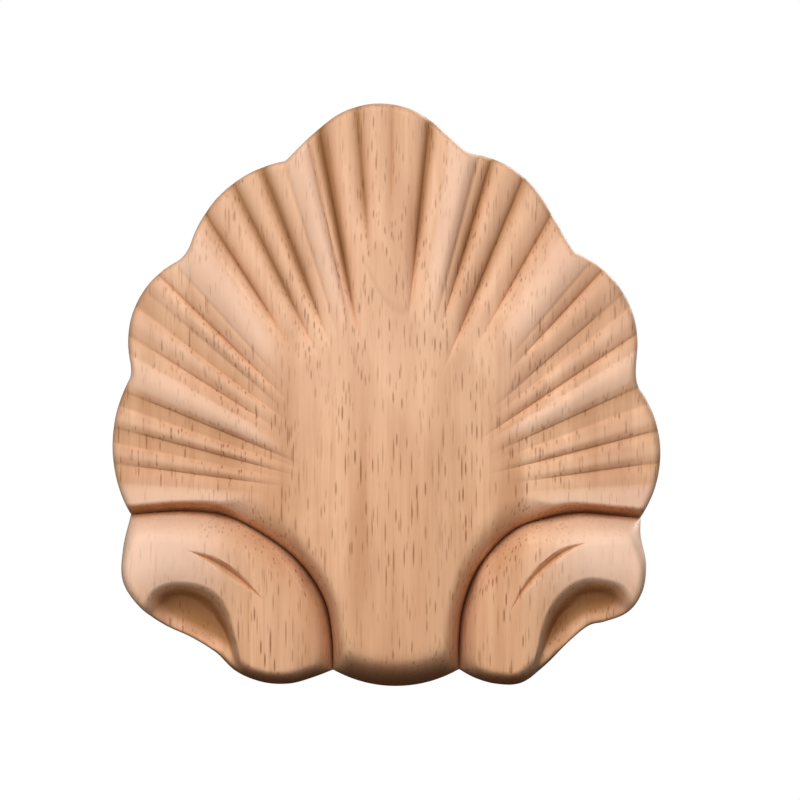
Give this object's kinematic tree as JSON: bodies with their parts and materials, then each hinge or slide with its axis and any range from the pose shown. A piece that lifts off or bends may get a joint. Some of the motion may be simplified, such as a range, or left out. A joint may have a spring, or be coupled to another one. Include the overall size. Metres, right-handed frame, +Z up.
{
  "type": "embossed applique",
  "caption": "Carved hardwood shell applique with a fluted fan, a smooth stem and a scroll at each side, flat at the back for gluing on.",
  "frame": {"origin": "middle of the flat back face, at mid width and mid height of the carving", "axes": "+Y out of the flat back, into the panel it is glued to; the carving rises toward -Y; +Z up, toward the top lobe of the fan; +X to the right as seen from the front"},
  "size_m": [0.089, 0.0164, 0.0948],
  "materials": {
    "hardwood": "sanded smooth, unfinished"
  },
  "bodies": {
    "root": {"shell_applique": "hardwood"}
  },
  "joints": []
}
